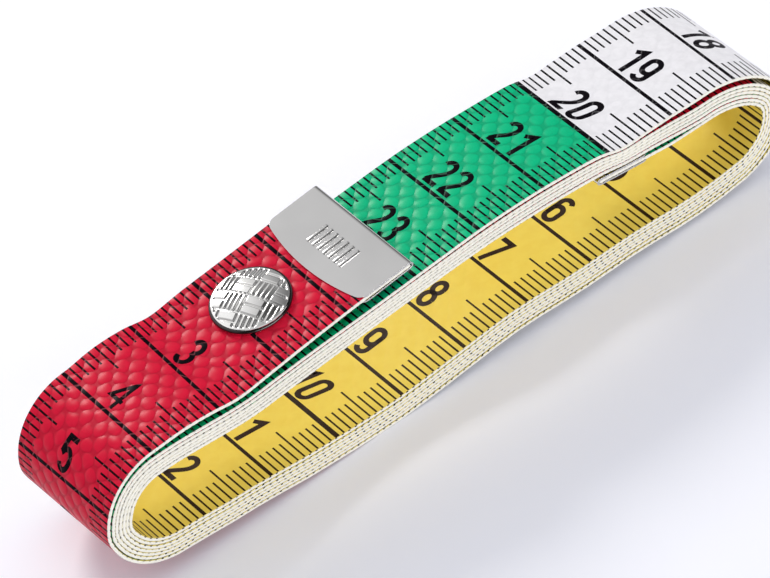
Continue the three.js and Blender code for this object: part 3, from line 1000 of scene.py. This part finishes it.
def weave_height(x, y):
    """A plain basket weave of wide bars and ribs, from 0 to 1."""
    u = (x * math.cos(WEAVE_TURN) + y * math.sin(WEAVE_TURN)) / WEAVE_CELL
    v = (y * math.cos(WEAVE_TURN) - x * math.sin(WEAVE_TURN)) / WEAVE_CELL
    kind = (math.floor(u) + math.floor(v)) % 2
    across, length = (v, u) if kind else (u, v)
    ribs = WEAVE_RIBS[kind]
    from_side = (0.5 - abs(ribs * (across % 1) % 1 - 0.5)) / ribs
    from_end = 0.5 - abs(length % 1 - 0.5)
    return ease(from_side, *WEAVE_FLANK) * ease(from_end, *WEAVE_FLANK)


def cap_profile():
    """Radius and height down the cap's outside: the turn from its shoulder to its rim, and its foot."""
    shoulder_height = CAP_TOP - CAP_DOME * CAP_SHOULDER ** 2
    inside = CAP_SHOULDER * CAP_RADIUS
    turn = bow(inside, CAP_RIM, CAP_RADIUS - inside, shoulder_height - CAP_RIM, 90, 0)[1:]
    return turn, [(share * CAP_RADIUS, height) for share, height in CAP_UNDER]


# the cap's bright nickel, and the painted dark reflection on the turn of its rim
BRIGHT, PAINTED_DARK_RIM = range(2)


def cap_piece(name, matrix, sides=256, rows=64):
    """Low dome with a plain woven relief, over a rim that turns in to the tape."""
    # the turn from the dome down to the rim carries a painted dark reflection
    points = [(0, 0, CAP_TOP + RELIEF_DEPTH * (weave_height(0, 0) - 1))]

    def around(radius):
        turns = [2 * math.pi * side / sides for side in range(sides)]
        return [(radius * math.cos(turn), radius * math.sin(turn)) for turn in turns]

    for row in range(1, rows + 1):
        radius = CAP_SHOULDER * CAP_RADIUS * row / rows
        dome = CAP_TOP - CAP_DOME * (radius / CAP_RADIUS) ** 2
        depth = RELIEF_DEPTH * ease(RELIEF_FIELD - radius, 0, RELIEF_FADE)
        points += [(x, y, dome + depth * (weave_height(x, y) - 1)) for x, y in around(radius)]
    turn, foot = cap_profile()
    for radius, height in turn + foot:
        points += [(x, y, height) for x, y in around(radius)]
    faces = [(0, 1 + side, 1 + (side + 1) % sides) for side in range(sides)]
    kinds = [BRIGHT] * sides
    for row in range(rows + len(turn) + len(foot) - 1):
        # faces of the rim's turn get the painted dark reflection
        kinds += [PAINTED_DARK_RIM if rows <= row + 1 < rows + len(turn) else BRIGHT] * sides
        for side in range(sides):
            a = 1 + row * sides + side
            b = 1 + row * sides + (side + 1) % sides
            faces.append((a, a + sides, b + sides, b))
    last = len(points) - sides
    faces.append(tuple(last + side for side in reversed(range(sides))))
    kinds.append(BRIGHT)
    piece = new_object(name, points, faces, [cap_metal, rim_painted_reflection_metal])
    piece.data.polygons.foreach_set("material_index", kinds)
    piece.matrix_world = matrix
    return piece


def placed(x, y, z, turn_y, roll=0.0, turn_z=0.0):
    move = Matrix.Translation(Vector((x, y, z)) * MM)
    tilt = Matrix.Rotation(turn_y, 4, "Y") @ Matrix.Rotation(roll, 4, "X")
    return move @ tilt @ Matrix.Rotation(turn_z, 4, "Z")


def on_free_end(point, aside, turn_z=0.0):
    """A frame on the free end's outer face, as it lies."""
    rise, sideways, roll = free_end_sway(point.x)
    ring = min(free_end, key=lambda ring: abs(ring.point.x - point.x))
    pitch = math.atan2(ring.normal.x, ring.normal.y)
    return placed(point.x, aside + sideways, point.y + rise, pitch, math.radians(roll), turn_z)


zero_edge = snap + slope * SNAP_FROM_END
end_clip = clip_piece("end_clip_sheet", FREE_END_LIFT, on_free_end(zero_edge, 0, FREE_END_YAW))
bend_point = inner_end[0].point
inner_tip = bend_point + inner_way * INNER_END_LENGTH
inner_frame = placed(inner_tip.x, 0, inner_tip.y, INNER_END_RISE, 0.0, math.pi)
inner_clip = clip_piece("inner_clip_sheet", 0, inner_frame)
cap = cap_piece("snap_cap_dome", on_free_end(snap, SNAP_ASIDE))


# Bodies, and the solids that the pieces stand for

def across_joint(piece):
    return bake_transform(piece)


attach(coil_band, "coil")
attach(coil_print, "coil")
for piece in (free_end_band, free_end_print):
    across_joint(piece)
across_joint(inner_end_band)
for piece in (end_clip, cap):
    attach(piece, "free_end")
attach(inner_clip, "inner_end")

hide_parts("tape_coil")
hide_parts("tape_free_end")
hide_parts("tape_inner_end")
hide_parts("end_clip")
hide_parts("inner_end_clip")
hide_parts("snap_cap")


for node, material in {
    "snap_socket": clip_metal,
    "snap_stud": clip_metal,
    "cap_rivet": clip_metal,
    "stud_eyelet": clip_metal,
    "socket_spring": spring_metal,
}.items():
    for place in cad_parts[node].material_slots:
        place.material = material


# Floor, light and camera
FLOOR_SIZE = 1800
FLOOR_GLOW = 0.12  # seen and mirrored only: it lights nothing
FLOOR_LEVEL = -1  # where the lowest wave of the tape rests
FLOOR_COLOUR = srgb(241, 242, 246)
FLOOR_TINT = (0.9, 0.92, 1.0, 1)
SEEN_RAYS = ("Is Camera Ray", "Is Glossy Ray", "Is Transmission Ray")


def light_rays(tree, *kinds):
    node = tree.nodes.new("ShaderNodeLightPath")
    share = node.outputs[kinds[0]]
    for kind in kinds[1:]:
        share = calc(tree, "MAXIMUM", share, node.outputs[kind])
    return share


def make_floor():
    half = FLOOR_SIZE / 2
    corners = [(x, y, FLOOR_LEVEL) for x, y in ((-half, -half), (half, -half), (half, half), (-half, half))]
    floor = new_object("floor", corners, [(0, 1, 2, 3)])
    material, tree, shader = shader_material("floor_paper", 0.9)
    shader.inputs["Base Color"].default_value = FLOOR_COLOUR
    shader.inputs["Specular IOR Level"].default_value = 0.0
    shader.inputs["Emission Color"].default_value = FLOOR_TINT
    seen = light_rays(tree, *SEEN_RAYS)
    tree.links.new(calc(tree, "MULTIPLY", seen, FLOOR_GLOW), shader.inputs["Emission Strength"])
    floor.data.materials.append(material)


SKY_COLOUR = (0.9, 0.91, 1.0, 1)
SKY_STRENGTH = (0.1, 0.75)  # in front, and where the soft light is brightest
SKY_BRIGHTEST = (0, 0.18, 0.98)
SKY_FADE = (-0.1, 0.75)  # cosines of the angle from there
# Where the room that the metal mirrors is bright, over what cosines of the angle from there it fades,
# and how bright it is
BRIGHT_WALLS = (
    ((-0.35, 0.72, 0.6), 0.3, 1.05, 1.0),
    ((0.93, 0.35, 0.05), 0.9, 0.97, 1.0),
    ((0.1, -0.92, 0.38), 0.8, 1.0, 0.55),
    ((-1, 0.1, 0.3), 0.85, 1.0, 0.45),
    ((1, -0.1, 0.3), 0.85, 1.0, 0.45),
)
DIM_ROOM = 0.06


def make_world():
    world = bpy.data.worlds.new("studio")
    bpy.context.scene.world = world
    world.use_nodes = True
    tree = world.node_tree
    soft = tree.nodes["Background"]
    soft.inputs["Color"].default_value = SKY_COLOUR
    place = tree.nodes.new("ShaderNodeTexCoord").outputs["Generated"]

    def cosine_from(middle):
        node = tree.nodes.new("ShaderNodeVectorMath")
        node.operation = "DOT_PRODUCT"
        tree.links.new(place, node.inputs[0])
        node.inputs[1].default_value = Vector(middle).normalized()
        return node.outputs["Value"]

    sky = fade(tree, cosine_from(SKY_BRIGHTEST), *SKY_FADE, *SKY_STRENGTH)
    tree.links.new(sky, soft.inputs["Strength"])
    shown = tree.nodes.new("ShaderNodeBackground")
    shown.inputs["Color"].default_value = (1, 1, 1, 1)
    strength = light_rays(tree, "Is Camera Ray")
    for middle, outside, inside, level in BRIGHT_WALLS:
        wall = fade(tree, cosine_from(middle), outside, inside, DIM_ROOM, level)
        strength = calc(tree, "MAXIMUM", strength, wall)
    tree.links.new(strength, shown.inputs["Strength"])
    mixed = tree.nodes.new("ShaderNodeMixShader")
    share = light_rays(tree, *SEEN_RAYS)
    tree.links.new(share, mixed.inputs[0])
    tree.links.new(soft.outputs[0], mixed.inputs[1])
    tree.links.new(shown.outputs[0], mixed.inputs[2])
    tree.links.new(mixed.outputs[0], tree.nodes["World Output"].inputs["Surface"])


def make_lamp(name, direction, distance, width, height, power, colour):
    lamp = bpy.data.lights.new(name, "AREA")
    lamp.shape = "ELLIPSE"
    lamp.size = width
    lamp.size_y = height
    lamp.energy = power
    lamp.color = colour
    holder = bpy.data.objects.new(name, lamp)
    way = Vector(direction).normalized()
    holder.location = way * distance
    holder.rotation_mode = "QUATERNION"
    holder.rotation_quaternion = way.to_track_quat("Z", "Y")
    bpy.context.scene.collection.objects.link(holder)


CAMERA_AZIMUTH = math.radians(-26.21)
CAMERA_ELEVATION = math.radians(42.44)
CAMERA_ROLL = math.radians(-15.3)
CAMERA_DISTANCE = 776.3
CAMERA_AIM = Vector((-3.62, 0, 10.14))
CAMERA_LENS = 294.8


def make_camera():
    across = math.cos(CAMERA_ELEVATION)
    back = Vector((
        math.sin(CAMERA_AZIMUTH) * across, -math.cos(CAMERA_AZIMUTH) * across, math.sin(CAMERA_ELEVATION),
    ))
    level = Vector((math.cos(CAMERA_AZIMUTH), math.sin(CAMERA_AZIMUTH), 0))
    upright = back.cross(level)
    right = level * math.cos(CAMERA_ROLL) + upright * math.sin(CAMERA_ROLL)
    data = bpy.data.cameras.new("camera")
    data.lens = CAMERA_LENS
    data.clip_start = 0.01
    data.clip_end = 20
    camera = bpy.data.objects.new("camera", data)
    turn = Matrix((right, back.cross(right), back)).transposed().to_4x4()
    camera.matrix_world = Matrix.Translation((CAMERA_AIM + back * CAMERA_DISTANCE) * MM) @ turn
    bpy.context.scene.collection.objects.link(camera)
    bpy.context.scene.camera = camera


make_floor()
make_world()
make_lamp(
    "key_lamp", direction=(0.05, 0.85, 0.54), distance=0.7, width=0.21, height=0.21, power=3.2,
    colour=(1.0, 0.97, 0.93),
)
make_lamp(
    "front_lamp", direction=(0.0, -1.0, 0.14), distance=0.9, width=1.4, height=0.14, power=5.5,
    colour=(1.0, 0.98, 0.95),
)
make_camera()
bpy.context.scene.view_settings.view_transform = "Standard"
